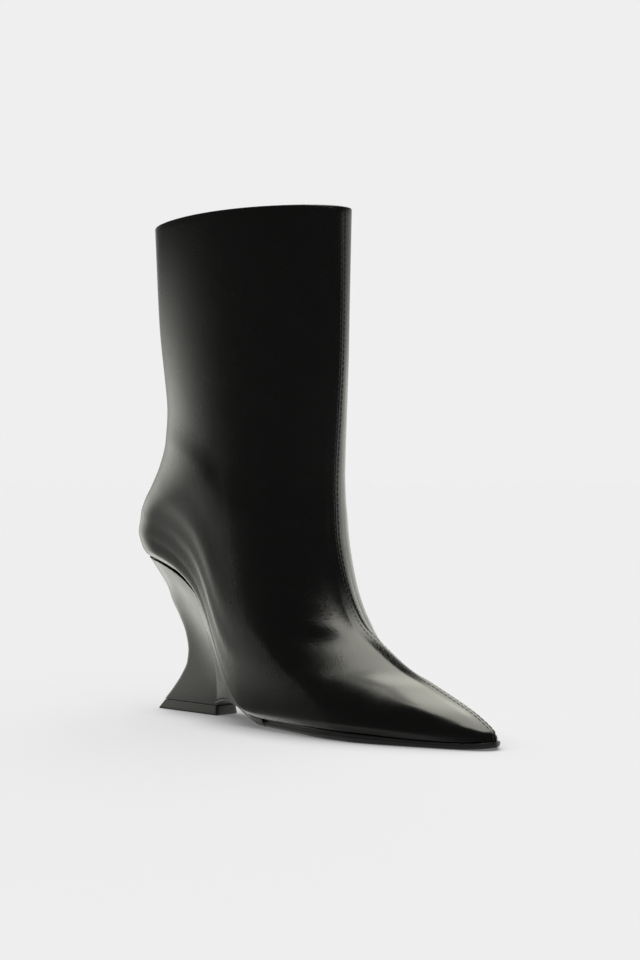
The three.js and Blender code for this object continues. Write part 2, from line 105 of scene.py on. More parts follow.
# The first names place a section and give its length and width, the others its shape
PLACE_NAMES = ("level", "front_up", "back_up", "shaft", "leg", "middle", "reach", "full")
SHAPE_NAMES = ("widest", "tip", "fair", "heel", "waist", "round", "straight")
SECTION_NAMES = PLACE_NAMES + SHAPE_NAMES
SECTIONS = [
    (0.0, 0.0, 0.0, 0, 0, 0.504, 0.987, 0.93, 0.32, 0.72, 1.4, 0.86, 0.24, 0.8, 0),
    (0.05, 0.043, 0.06, 0, 0, 0.4985, 0.982, 0.99, 0.32, 0.72, 1.42, 0.86, 0.1, 0.82, 0),
    (0.12, 0.108, 0.182, 0, 0, 0.4795, 0.954, 1.0, 0.32, 0.74, 1.48, 0.84, 0.07, 0.85, 0.02),
    (0.21, 0.224, 0.3, 0, 0, 0.4265, 0.846, 0.98, 0.32, 0.84, 1.55, 0.84, 0.04, 0.82, 0.08),
    (0.27, 0.292, 0.375, 0, 0, 0.39, 0.77, 0.965, 0.32, 0.94, 1.65, 0.84, 0.02, 0.8, 0.12),
    (0.33, 0.38, 0.47, 0, 0, 0.361, 0.7, 0.943, 0.33, 0.9, 1.8, 0.85, 0.01, 0.75, 0.19),
    (0.41, 0.51, 0.612, 0, 0.1, 0.3317, 0.6357, 0.94, 0.36, 0.52, 1.95, 0.87, 0, 0.62, 0.3),
    (0.5, 0.735, 0.79, 0, 0.3, 0.3191, 0.6236, 0.945, 0.38, 0.48, 2, 0.9, 0, 0.45, 0.45),
    (0.6, 1.0, 1.0, 0, 0.6, 0.3162, 0.6811, 0.98, 0.41, 0.46, 2, 0.95, 0, 0.25, 0.62),
    (0.72, 1.0, 1.0, 0.14, 0.8, 0.315, 0.763, 0.965, 0.45, 0.46, 2, 1.0, 0, 0.05, 0.8),
    (0.86, 1.0, 1.0, 0.56, 1, 0.309, 0.963, 0.97, 0.5, 0.48, 2, 1.0, 0, 0, 0.95),
    (1.0, 1.0, 1.0, 1.0, 1, 0.305, 1.0, 1.0, 0.5, 0.47, 2, 1.0, 0, 0, 1)]

# Along the sole: share of the length, then the outer and the inner edge as shares of half the ball width
SOLE_OUTLINE = [
    (0.236, 0.25, 0.25), (0.3, 0.36, 0.35), (0.35, 0.47, 0.44), (0.394, 0.55, 0.51),
    (0.441, 0.62, 0.57), (0.504, 0.715, 0.67), (0.56, 0.8, 0.77), (0.61, 0.872, 0.86),
    (0.66, 0.908, 0.92), (0.71, 0.905, 0.93), (0.76, 0.84, 0.87), (0.82, 0.69, 0.71),
    (0.88, 0.53, 0.54), (0.93, 0.395, 0.395), (0.96, 0.3, 0.3), (0.98, 0.215, 0.215),
    (0.992, 0.12, 0.12), (0.9975, 0.035, 0.035)]

# The hollow at the wedge's back: share of its height, and depth as a share of the foot's length
HOLLOW_BACK = [
    (0.0, 0.0), (0.09, 0.0338), (0.17, 0.06), (0.27, 0.0839), (0.36, 0.0901), (0.46, 0.0836),
    (0.57, 0.0647), (0.67, 0.044), (0.78, 0.0323), (0.88, 0.0147), (1.0, 0.0)]


def mix(a, b, t):
    return a + (b - a) * t


def clamp01(t):
    return np.clip(t, 0.0, 1.0)


def smooth(t):
    t = clamp01(t)
    return t * t * (3 - 2 * t)


def bump_line(t, centre, width):
    return np.exp(-((t - centre) / width) ** 2)


def eased_steps(count):
    """Shares from 0 to 1 that lie closer together at both ends."""
    return (1 - np.cos(np.linspace(0, pi, count))) / 2


def ring_shares(count):
    """Around a ring: shares from 0 at the front to 1 at the back and down again, and which are inner."""
    j = np.arange(count)
    return (1 - np.cos(2 * pi * j / count)) / 2, j > count / 2


def run_along(points):
    """How far each point lies from the first one, along the line through all of them."""
    return np.concatenate([[0], np.cumsum(np.linalg.norm(np.diff(points, axis=0), axis=1))])


def smooth_curve(xs, ys):
    """A smooth curve through the points that never overshoots between two of them."""
    xs, ys = np.array(xs, float), np.array(ys, float)
    steps = np.diff(xs)
    grades = np.diff(ys) / steps
    slopes = np.zeros(len(xs))
    slopes[0], slopes[-1] = grades[0], grades[-1]
    for i in range(1, len(xs) - 1):
        if grades[i - 1] * grades[i] > 0:
            before = 2 * steps[i] + steps[i - 1]
            after = steps[i] + 2 * steps[i - 1]
            slopes[i] = (before + after) / (before / grades[i - 1] + after / grades[i])

    def curve(x):
        held = np.clip(x, xs[0], xs[-1])
        i = np.clip(np.searchsorted(xs, held, side="left") - 1, 0, len(steps) - 1)
        h = steps[i]
        t = (held - xs[i]) / h
        s = 1 - t
        return ((1 + 2 * t) * s * s * ys[i] + t * s * s * h * slopes[i]
                + t * t * (3 - 2 * t) * ys[i + 1] - t * t * s * h * slopes[i + 1])

    return curve


rise_at = smooth_curve(*zip(*BOTTOM_LINE))
sole_places, outer_shares, inner_shares = zip(*SOLE_OUTLINE)
outer_edge = smooth_curve(sole_places, outer_shares)
inner_edge = smooth_curve(sole_places, inner_shares)
hollow_at = smooth_curve(*zip(*HOLLOW_BACK))


def toe_lift(x):
    return TOE_SPRING * clamp01((x / FOOT_LENGTH - SPRING_START) / (1 - SPRING_START)) ** 3


def bottom_height(x):
    return SOLE_TOP + rise_at(x / FOOT_LENGTH) * (HEEL_HEIGHT - SOLE_TOP) + toe_lift(x)


def slope_of(height, x):
    return (height(x + SLOPE_REACH) - height(x - SLOPE_REACH)) / (2 * SLOPE_REACH)


def off_bottom(x, distance):
    """Places at a distance square to the last's bottom: above it, or below it where negative."""
    slope = slope_of(bottom_height, x)
    scale = distance / np.hypot(1, slope)
    return x - slope * scale, bottom_height(x) + scale


def make_columns():
    rows = {name: np.array(column, float) for name, column in zip(SECTION_NAMES, zip(*SECTIONS))}
    length = rows["reach"] * mix(FOOT_LENGTH, COLLAR_LENGTH, rows["leg"])
    front_x = rows["middle"] * FOOT_LENGTH + length / 2
    back_x = rows["middle"] * FOOT_LENGTH - length / 2
    rise = rows["shaft"] * (COLLAR_HEIGHT - INSTEP_HEIGHT)
    ankle = HEEL_HEIGHT + COUNTER_HEIGHT
    table = {name: rows[name] for name in SHAPE_NAMES}
    table["leg"] = rows["leg"]
    table["shaft"] = rows["shaft"]
    table["front_x"] = front_x
    table["back_x"] = back_x
    table["front_z"] = mix(bottom_height(front_x), INSTEP_HEIGHT, rows["front_up"]) + rise
    table["back_z"] = mix(bottom_height(back_x), ankle, rows["back_up"]) + rows["shaft"] * SHAFT_HEIGHT
    table["half"] = rows["full"] * mix(BALL_WIDTH, COLLAR_WIDTH, rows["leg"]) / 2
    return {name: smooth_curve(rows["level"], values) for name, values in table.items()}


COLUMNS = make_columns()


def section_at(level):
    section = {name: float(curve(level)) for name, curve in COLUMNS.items()}
    section["sided"] = float(clamp01(1 - level / SIDED_LEVELS) ** 2)
    return section


def inset_section(level, inset):
    section = section_at(level)
    if inset == 0:
        return section
    below = section_at(max(level - LEVEL_REACH, 0))
    above = section_at(min(level + LEVEL_REACH, 1))
    front = np.array([above["front_x"] - below["front_x"], above["front_z"] - below["front_z"]])
    back = np.array([above["back_x"] - below["back_x"], above["back_z"] - below["back_z"]])
    front /= np.hypot(*front)
    back /= np.hypot(*back)
    pointed = 1 + POINT_SHARE * (section["tip"] - ROUND_TIP)
    seated = min(level / SEATED_LEVELS, 1)
    section["front_x"] -= inset * pointed * front[1]
    section["front_z"] += inset * pointed * front[0] * seated
    section["back_x"] += inset * back[1]
    section["back_z"] -= inset * back[0] * seated
    section["half"] -= inset
    return section


def open_half_width(section, share, inner):
    foot = section["sided"] if inner else 0.0
    widest = section["widest"] * mix(1, INNER_FORWARD, foot)
    waist = section["waist"] + INNER_WAIST * foot * (section["waist"] > 0)
    ahead = clamp01(share / widest)
    behind = clamp01((share - widest) / (1 - widest))
    eased = behind * behind * (3 - 2 * behind)
    ball = section["half"] * mix(1, INNER_FULLER, foot * (1 - eased))
    taper = (1 - (1 - ahead) ** section["fair"]) ** section["tip"]
    return ball * taper * (mix(1, section["heel"], eased) - waist * np.sin(pi * behind) ** 2)


def half_width(section, share, inner):
    widest = section["widest"] * mix(1, INNER_FORWARD, section["sided"] if inner else 0.0)
    behind = clamp01((share - widest) / (1 - widest))
    turn = clamp01((behind - section["round"]) / (1 - section["round"]))
    return open_half_width(section, share, inner) * np.sqrt(1 - turn * turn)


def side_line(level, inset, inner, share):
    """One side of a level loop of the upper, from the front to the back."""
    section = inset_section(level, inset)
    front_lift = section["front_z"] - bottom_height(section["front_x"])
    back_lift = section["back_z"] - bottom_height(section["back_x"])
    x = mix(section["front_x"], section["back_x"], share)
    on_last = bottom_height(x) + mix(front_lift, back_lift, share)
    on_line = mix(section["front_z"], section["back_z"], share)
    bow = COLLAR_BOW * section["shaft"] ** 4 * np.sin(pi * share)
    y = half_width(section, share, inner) * (1 if inner else -1)
    return np.stack([x, y, mix(on_last, on_line, section["straight"]) + bow], -1)


# Mesh helpers

MILLIMETRE = 0.001
WELD_DISTANCE = 2e-6


def to_frame(points):
    return (np.asarray(points, float) + SHIFT) * MILLIMETRE


def make_object(name, points, faces, material):
    """A smooth-shaded mesh from points in the drawing frame."""
    mesh = bpy.data.meshes.new(name)
    mesh.from_pydata(to_frame(points).tolist(), [], [tuple(int(i) for i in f) for f in faces])
    mesh.validate()
    mesh.polygons.foreach_set("use_smooth", [True] * len(mesh.polygons))
    mesh.update()
    obj = bpy.data.objects.new(name, mesh)
    bpy.context.scene.collection.objects.link(obj)
    mesh.materials.append(material)
    return obj


def face_outward(obj, weld=True):
    """Turns all faces of a closed mesh outward, after welding the points that lie in one place if asked."""
    bm = bmesh.new()
    bm.from_mesh(obj.data)
    if weld:
        bmesh.ops.remove_doubles(bm, verts=bm.verts, dist=WELD_DISTANCE)
    bmesh.ops.recalc_face_normals(bm, faces=bm.faces)
    if bm.calc_volume(signed=True) < 0:
        bmesh.ops.reverse_faces(bm, faces=bm.faces)
    bm.to_mesh(obj.data)
    bm.free()
    obj.data.update()


def grid_faces(rows, count, wrap_rows=False):
    """Quads between stacked rings of count points; the last ring joins the first if asked."""
    faces = []
    stacks = rows if wrap_rows else rows - 1
    j = np.arange(count)
    k = (j + 1) % count
    for i in range(stacks):
        a = i * count
        b = ((i + 1) % rows) * count
        faces.append(np.stack([a + j, a + k, b + k, b + j], -1))
    return np.concatenate(faces)


def ladder_faces(start, count):
    """Closes a ring by rungs between its two sides, which start at its first point."""
    half = count // 2
    faces = []
    for j in range(half):
        quad = [start + j, start + j + 1, start + (count - j - 1) % count, start + (count - j) % count]
        clean = [v for n, v in enumerate(quad) if v not in quad[:n]]
        if len(clean) > 2:
            faces.append(clean)
    return faces


def closed_faces(rows, count):
    """Quads between stacked rings, and rungs that close the first and the last ring."""
    ends = ladder_faces(0, count) + ladder_faces((rows - 1) * count, count)
    return grid_faces(rows, count).tolist() + ends


# Upper

SEAM_STEPS = [0, 0.16, 0.34, 0.54, 0.76, 1.0, 1.3, 1.65, 2.1, 2.6, 3.2, 3.9, 4.6, 5.2, 5.7, 6.2, 6.7, 7.3,
              8.0, 8.8, 9.8]
SIDE_STEPS = 118
LEVELS = 150
INNER_LEVELS = 60
LEVEL_EASE = 1.25
DENSE = eased_steps(900)
LIP_LEVELS = 0.008
LIP_ROUND = 0.45
COLLAR_TURNS = (0.25, 0.5, 0.75)

# The seam: how far it rises, how wide it slopes down on either side, and the lap and groove beside it
SEAM_RISE = 0.75
INSTEP_RISE = 1.35
INSTEP_CENTRE = 58
INSTEP_SPREAD = 26
TOE_RISE_SHARE = 0.35
TOE_RISE_TOP = 36
TOE_RISE_FADE = 20
COLLAR_RISE_SHARE = 0.45
COLLAR_RISE_START = 215
COLLAR_RISE_FADE = 45
OUTER_SLOPE = 4.6
OUTER_TOE_SLOPE = 3.4
INNER_SLOPE = 7.6
INNER_TOE_SLOPE = 3.6
LAP_HEIGHT = 0.3
LAP_WIDTH = 0.3
LAP_FADE = 4.5
GROOVE_DEPTH = 0.16
GROOVE_PLACE = 0.75
GROOVE_WIDTH = 0.35

# Soft forms of the leather, in millimetres
SHAFT_WAVE = 0.12
SHAFT_WAVE_CENTRE = 215
SHAFT_WAVE_SPREAD = 50
TOE_SHOULDER = 1.1
TOE_SHOULDER_START = 196
TOE_SHOULDER_END = 252
TOE_SHOULDER_SPREAD = 4.6
# Each wrinkle's middle, how it slopes, how far it reaches and how deep it is
WRINKLES = ((211, 22, -0.3, 9, 0.03), (218.5, 26, -0.59, 8, 0.03))
WRINKLE_WIDTH = 0.8

# How strongly the grain shows: full on the shaft, stretched nearly smooth at the toe
TOE_GRAIN = 0.16
GRAIN_EDGE = 215
GRAIN_FADE = 60


def arc_side(level, inset, inner):
    """A side's points at fixed distances from the seam and evenly spaced from there to the back."""
    run = run_along(side_line(level, inset, inner, DENSE))
    first = SEAM_STEPS[-1]
    rest = mix(first, run[-1], np.arange(1, SIDE_STEPS + 1) / SIDE_STEPS)
    at = np.concatenate([SEAM_STEPS, rest])
    return side_line(level, inset, inner, np.interp(at, run, DENSE)), at


def loop_at(level, inset):
    """A closed loop by way of the outer side, and each point's distance from the seam, negative there."""
    outer, at_outer = arc_side(level, inset, False)
    inner, at_inner = arc_side(level, inset, True)
    loop = np.concatenate([outer, inner[-2:0:-1]])
    away = np.concatenate([-at_outer, at_inner[-2:0:-1]])
    return loop, away


def ridge(distance, width):
    """A straight slope from 1 at the seam to 0 at its foot, where it is a little rounded."""
    left = 1 - np.abs(distance) / width
    return (left + np.sqrt(left * left + 0.012)) / 2


def seam_profile(away, height):
    """Both panels rise to a low ridge at the seam, where the outer one laps over the inner one."""
    instep = bump_line(height, INSTEP_CENTRE, INSTEP_SPREAD)
    toe = smooth((TOE_RISE_TOP - height) / TOE_RISE_FADE)
    collar = smooth((height - COLLAR_RISE_START) / COLLAR_RISE_FADE)
    rise = SEAM_RISE + INSTEP_RISE * instep
    rise = rise * mix(1, TOE_RISE_SHARE, toe) * mix(1, COLLAR_RISE_SHARE, collar)
    outer = rise * ridge(away, mix(OUTER_SLOPE, OUTER_TOE_SLOPE, toe))
    inner = rise * ridge(away, mix(INNER_SLOPE, INNER_TOE_SLOPE, toe))
    lap = LAP_HEIGHT * smooth((away - 0.02) / LAP_WIDTH) * np.exp(-np.maximum(away, 0) / LAP_FADE)
    groove = -GROOVE_DEPTH * bump_line(away, GROOVE_PLACE, GROOVE_WIDTH)
    return np.where(away < 0, outer, np.maximum(inner - lap, 0)) + groove


def soft_forms(points):
    """How far the leather stands out or in: long waves, the toe's shoulder and two faint wrinkles."""
    x, y, z = points.T
    outer = smooth(-y / 6)
    waves = SHAFT_WAVE * np.sin(z / 34.0 + x / 40.0 + 0.6)
    out = waves * bump_line(z, SHAFT_WAVE_CENTRE, SHAFT_WAVE_SPREAD)
    # A soft shoulder along the outer side of the toe
    toe = smooth((x - TOE_SHOULDER_START) / 30) * smooth((TOE_SHOULDER_END - x) / 14)
    shoulder = 8.5 + (TOE_SHOULDER_END - x) * 0.24
    out += TOE_SHOULDER * toe * bump_line(z, shoulder + 1.6, TOE_SHOULDER_SPREAD) * outer
    # Two faint wrinkles on the outer side of the vamp
    for x0, z0, slope, reach, deep in WRINKLES:
        across = (z - z0 - (x - x0) * slope) / WRINKLE_WIDTH
        out -= deep * np.exp(-((x - x0) / reach) ** 2 - across ** 2) * outer
    return out


def lip_inset(level):
    """Rounds the upper's lower edge."""
    if level >= LIP_LEVELS:
        return 0.0
    return LIP_ROUND * (1 - sqrt(1 - (1 - level / LIP_LEVELS) ** 2))


def outward_normals(grid):
    around = np.roll(grid, -1, 1) - np.roll(grid, 1, 1)
    upward = np.gradient(grid, axis=0)
    normal = np.cross(upward, around)
    normal /= np.linalg.norm(normal, axis=2, keepdims=True) + 1e-9
    centre = grid.mean(axis=1, keepdims=True)
    return normal if (normal * (grid - centre)).sum() >= 0 else -normal


def make_upper(leather, lining):
    levels = [(i / (LEVELS - 1)) ** LEVEL_EASE for i in range(LEVELS)]
    loops, away_rows = zip(*(loop_at(level, lip_inset(level)) for level in levels))
    grid = np.array(loops)
    count = grid.shape[1]
    normal = outward_normals(grid)
    moved = grid.copy()
    for i, level in enumerate(levels):
        low = smooth(level / 0.03)
        top = smooth((1 - level) / 0.02)
        shift = seam_profile(away_rows[i], grid[i, :, 2]) * mix(0.75, 1, low)
        shift = shift + soft_forms(grid[i]) * low * top
        moved[i] += normal[i] * shift[:, None]
    rings = list(moved)
    # Rolled collar edge
    edge_seam = seam_profile(away_rows[-1], np.full(count, COLLAR_HEIGHT))[:, None] * normal[-1]
    for turn in COLLAR_TURNS:
        angle = pi * turn
        inset = WALL / 2 * (1 - cos(angle))
        ring, _ = loop_at(1.0, inset)
        ring[:, 2] += COLLAR_FOLD * 1.3 * sin(angle)
        rings.append(ring + edge_seam * (1 - turn))
    outer_count = len(rings)
    for i in range(INNER_LEVELS):
        level = (1 - i / (INNER_LEVELS - 1)) ** LEVEL_EASE
        ring, _ = loop_at(level, WALL)
        rings.append(ring)
    points = np.concatenate(rings)
    faces = grid_faces(len(rings), count, wrap_rows=True)
    obj = make_object("upper_leather", points, faces, leather)
    obj.data.materials.append(lining)
    slots = np.zeros(len(faces), np.int32)
    slots[(outer_count - 1) * count:(len(rings) - 1) * count] = 1
    obj.data.polygons.foreach_set("material_index", slots)
    x, z = points[:, 0], points[:, 2]
    grain = mix(TOE_GRAIN, 1.0, smooth((GRAIN_EDGE - x + (z - 20) * 0.6) / GRAIN_FADE))
    attribute = obj.data.attributes.new("grain", "FLOAT", "POINT")
    attribute.data.foreach_set("value", grain.astype(np.float32))
    face_outward(obj, weld=False)
    return obj, moved, normal, np.array(away_rows)


# Stitches beside the seam: the rows' distances from it, outer side negative

STITCH_ROWS = (-1.35, 1.9)
STITCH_LENGTH = 2.3
STITCH_GAP = 0.7
STITCH_RADIUS = 0.2
STITCH_SUNK = 0.35
STITCH_SIDES = 6
# Along a stitch: share of its length from its middle, and share of its radius
STITCH_PROFILE = ((-0.5, 0.25), (-0.42, 0.8), (-0.2, 1.0), (0.2, 1.0), (0.42, 0.8), (0.5, 0.25))


def stitch_path(moved, normal, away, offset):
    """The line on the displaced upper at a signed distance from the seam, from the toe up."""
    path, up = [], []
    for ring, n, a in zip(moved, normal, away):
        order = np.argsort(a)
        path.append([np.interp(offset, a[order], ring[order, k]) for k in range(3)])
        up.append([np.interp(offset, a[order], n[order, k]) for k in range(3)])
    return np.array(path), np.array(up)


def point_on(path, run, at):
    return np.array([np.interp(at, run, path[:, k]) for k in range(3)])


def add_stitch(points, faces, centre, along_path, outward):
    """One stitch of thread, its middle raised and its ends sunk into the leather."""
    t = along_path / np.linalg.norm(along_path)
    n = outward - t * (outward @ t)
    n /= np.linalg.norm(n)
    b = np.cross(t, n)
    base = len(points)
    for along, wide in STITCH_PROFILE:
        sunk = STITCH_SUNK * STITCH_RADIUS * (1 - 3.2 * along * along)
        for k in range(STITCH_SIDES):
            angle = 2 * pi * k / STITCH_SIDES
            points.append(centre + t * along * STITCH_LENGTH
                          + n * (sunk + STITCH_RADIUS * wide * sin(angle))
                          + b * STITCH_RADIUS * wide * cos(angle))
    last = base + (len(STITCH_PROFILE) - 1) * STITCH_SIDES
    for start in range(base, last, STITCH_SIDES):
        for k in range(STITCH_SIDES):
            a = start + k
            c = start + (k + 1) % STITCH_SIDES
            faces.append((a, c, c + STITCH_SIDES, a + STITCH_SIDES))
    faces.append(tuple(base + k for k in range(STITCH_SIDES))[::-1])
    faces.append(tuple(last + k for k in range(STITCH_SIDES)))


def make_stitches(name, paths, material):
    points, faces = [], []
    for path, up in paths:
        run = run_along(path)
        at = STITCH_LENGTH
        while at < run[-1] - STITCH_LENGTH:
            centre = point_on(path, run, at)
            ahead = point_on(path, run, at + STITCH_LENGTH / 2)
            add_stitch(points, faces, centre, ahead - centre, point_on(up, run, at))
            at += STITCH_LENGTH + STITCH_GAP
    obj = make_object(name, points, faces, material)
    face_outward(obj, weld=False)
    return obj


# Insole

INSOLE_STATIONS = 150
SOCK_CROWN = 0.4


def make_insole(material):
    share = eased_steps(INSOLE_STATIONS)
    inset = WALL + INSOLE_CLEARANCE
    outer = side_line(0, inset, False, share)
    inner = side_line(0, inset, True, share)
    across = np.linspace(0, 1, 9)
    rings = []
    for o, i in zip(outer, inner):
        line = mix(o[None, :2], i[None, :2], across[:, None])
        crown = SOCK_CROWN * (1 - (2 * across - 1) ** 4)
        low_x, low_z = off_bottom(line[:, 0], np.full(len(across), FIT_GAP))
        high_x, high_z = off_bottom(line[:, 0], FIT_GAP + INSOLE_THICKNESS - SOCK_CROWN + crown)
        bottom = np.stack([low_x, line[:, 1], low_z], -1)
        top = np.stack([high_x, line[:, 1], high_z], -1)
        rings.append(np.concatenate([bottom, top[::-1]]))
    faces = closed_faces(len(rings), len(rings[0]))
    obj = make_object("insole_sock", np.concatenate(rings), faces, material)
    face_outward(obj)
    return obj


# Outsole

FOREFOOT_STATIONS = 91
ARCH_STATIONS = 46
SOLE_CREASE = 40


def sole_edge(x, inner):
    return (inner_edge if inner else outer_edge)(x / FOOT_LENGTH) * BALL_WIDTH / 2


def arch_underside(x):
    run = np.maximum(ARCH_FRONT - x, 0) / (ARCH_FRONT - BASE_FRONT)
    return ARCH_HEIGHT * np.sin(pi * ARCH_SHARE * run ** ARCH_EASE)


def arch_point(x, distance):
    n = np.array([-slope_of(arch_underside, x), 1.0])
    n /= np.hypot(*n)
    return np.array([x, arch_underside(x)]) + n * distance


# Side of the sole from its top edge down: share of its height, and inset in millimetres
SOLE_SIDE = ((1.0, 0.55), (0.97, 0.2), (0.9, 0.04), (0.8, 0.0), (0.74, 0.1), (0.68, 0.1), (0.62, 0.02),
             (0.45, 0.12), (0.25, 0.5), (0.1, 1.0), (0.03, 1.35), (0.0, 1.75))


def sole_ring(bottom, top):
    ring = []
    for inner in (True, False):
        sign = 1 if inner else -1
        edge = float(sole_edge(bottom[0], inner))
        side = []
        for up, inset in SOLE_SIDE:
            spot = mix(bottom, top, up)
            side.append((spot[0], sign * max(edge - min(inset, edge * 0.8), 0.02), spot[1]))
        ring += side if inner else side[::-1]
    return ring


def make_outsole(material):
    stations = []
    tip = SOLE_OUTLINE[-1][0] * FOOT_LENGTH
    for i in range(FOREFOOT_STATIONS):
        x = mix(tip, WEDGE_FRONT + FIT_GAP + 0.1, (i / (FOREFOOT_STATIONS - 1)) ** 1.6)
        bottom = np.array([x, toe_lift(x)])
        stations.append(sole_ring(bottom, np.array([x, bottom_height(x) - FIT_GAP])))
    for i in range(ARCH_STATIONS):
        x = mix(WEDGE_FRONT + FIT_GAP, BASE_FRONT + LINING_END, i / (ARCH_STATIONS - 1))
        stations.append(sole_ring(arch_point(x, 0), arch_point(x, SHANK_COVER)))
    faces = closed_faces(len(stations), len(stations[0]))
    obj = make_object("outsole_forefoot", np.concatenate(stations), faces, material)
    face_outward(obj)
    obj.data.set_sharp_from_angle(angle=radians(SOLE_CREASE))
    return obj


# Wedge

# Closing numbers are shares of the way round from which an end of the wedge narrows
WEDGE_RINGS = 110
WEDGE_POINTS = 400
WEDGE_CREASE = 42
RING_EASE = 1.6
NOSE_REACH = 1.2
NOSE_CLOSING = 0.995
BASE_CLOSING = 0.93
SEAT_CLOSING = 0.74
STEEP_RECESS = 10
RECESS_START = 0.36
RECESS_RAMP = 0.14
RECESS_EDGE = 0.4
ROOF_RAMP = 0.7


def end_closing(share, start, power):
    turn = clamp01((share - start) / (1 - start))
    return (1 - turn ** power) ** (1 / power)


def make_wedge(material):
    feather = inset_section(0, WEDGE_INSET)
    seat_back = section_at(0)["back_x"] + WEDGE_BACK_INSET
    floor = TOP_PIECE_HEIGHT + FIT_GAP
    share, inner = ring_shares(WEDGE_POINTS)
    nose = WEDGE_FRONT + FIT_GAP + NOSE_REACH
    low_x = mix(nose, BASE_BACK, share)
    low_z = floor * (1 - clamp01((low_x - BASE_FRONT) / (WEDGE_FRONT - BASE_FRONT)))
    high_x, high_z = off_bottom(mix(nose, seat_back, share), np.full(WEDGE_POINTS, -SEAT_GAP))
    along = clamp01((feather["front_x"] - high_x) / (feather["front_x"] - feather["back_x"]))
    low = np.where(low_x < BASE_FRONT, BASE_WIDTH / 2,
                   np.where(inner, sole_edge(low_x, True), sole_edge(low_x, False)))
    wide = np.where(inner, open_half_width(feather, along, True), open_half_width(feather, along, False))
    roof_x = np.linspace(BASE_FRONT + LINING_END - FIT_GAP, WEDGE_FRONT + FIT_GAP, 200)
    roof = np.array([arch_point(x, SHANK_COVER + FIT_GAP) for x in roof_x])
    order = np.argsort(roof[:, 0])
    late = clamp01((share - FLARE_START) / (1 - FLARE_START)) ** FLARE_GROWTH
    # 1 where the seat line is level and 0 where it is upright
    run, fall = np.gradient(high_x), np.gradient(high_z)
    level_share = np.abs(run) / np.maximum(np.hypot(run, fall), 1e-6)
    rings = []
    for i in range(WEDGE_RINGS + 1):
        up = 1 - (1 - i / WEDGE_RINGS) ** RING_EASE
        bow = float(hollow_at(up)) * FOOT_LENGTH
        ends = (end_closing(share, mix(BASE_CLOSING, SEAT_CLOSING, up), mix(BASE_CORNER, 2, up))
                * end_closing(1 - share, NOSE_CLOSING, BASE_CORNER))
        x = mix(low_x, high_x, up) + bow * share ** 3
        y = np.where(inner, 1, -1) * ends * mix(low, wide, up ** (1 + WEDGE_FLARE * late))
        z = mix(low_z, high_z, up)
        lift = np.interp(x, roof[order, 0], roof[order, 1]) * smooth((x - BASE_FRONT) / ROOF_RAMP)
        z = np.maximum(z, np.where(x > BASE_FRONT, lift, 0))
        # The cover turns in under the upper's edge, from before its middle to its back
        below = (1 - up) * (high_z - low_z) * level_share
        wide_recess = RECESS_HEIGHT * mix(STEEP_RECESS, 1, level_share)
        turned = (RECESS_DEPTH * smooth((share - RECESS_START) / RECESS_RAMP)
                  * smooth((wide_recess - below) / RECESS_EDGE))
        y = y * (1 - np.minimum(turned / np.maximum(np.abs(y), 1.0), 0.6))
        rings.append(np.stack([x, y, z], -1))
    faces = closed_faces(WEDGE_RINGS + 1, WEDGE_POINTS)
    obj = make_object("wedge_cover", np.concatenate(rings), faces, material)
    face_outward(obj)
    obj.data.set_sharp_from_angle(angle=radians(WEDGE_CREASE))
    return obj


# Top piece

TOP_PIECE_POINTS = 120
TOP_PIECE_CLOSING = 0.94
TOP_PIECE_CREASE = 35
# From the top down: height, share of the flare, and inset in millimetres
TOP_PIECE_PROFILE = (
    (TOP_PIECE_HEIGHT, 0, 0.5), (TOP_PIECE_HEIGHT - 0.12, 0, 0.15), (TOP_PIECE_HEIGHT - 0.35, 0.02, 0),
    (TOP_PIECE_HEIGHT - 0.8, 0.1, 0), (TOP_PIECE_HEIGHT / 2, 0.52, 0), (1.0, 0.9, 0), (0.5, 1.0, 0),
    (0.22, 0.99, 0.08), (0.05, 0.96, 0.2), (0, 0.93, 0.35))


def top_piece_ring(z, flare, inset):
    share, inner = ring_shares(TOP_PIECE_POINTS)
    front = BASE_FRONT + flare * TOP_PIECE_LEAN - inset
    back = BASE_BACK + TOP_PIECE_INSET - flare * TOP_PIECE_FLARE + inset
    ends = (end_closing(share, TOP_PIECE_CLOSING, BASE_CORNER)
            * end_closing(1 - share, TOP_PIECE_CLOSING, BASE_CORNER))
    half = BASE_WIDTH / 2 + flare * TOP_PIECE_LEAN - inset
    y = np.where(inner, 1, -1) * ends * half
    return np.stack([mix(front, back, share), y, np.full(TOP_PIECE_POINTS, z)], -1)


def make_top_piece(material):
    rings = [top_piece_ring(z, flare, inset) for z, flare, inset in TOP_PIECE_PROFILE]
    faces = closed_faces(len(rings), TOP_PIECE_POINTS)
    obj = make_object("top_piece_rubber", np.concatenate(rings), faces, material)
    face_outward(obj)
    obj.data.set_sharp_from_angle(angle=radians(TOP_PIECE_CREASE))
    return obj


# Materials

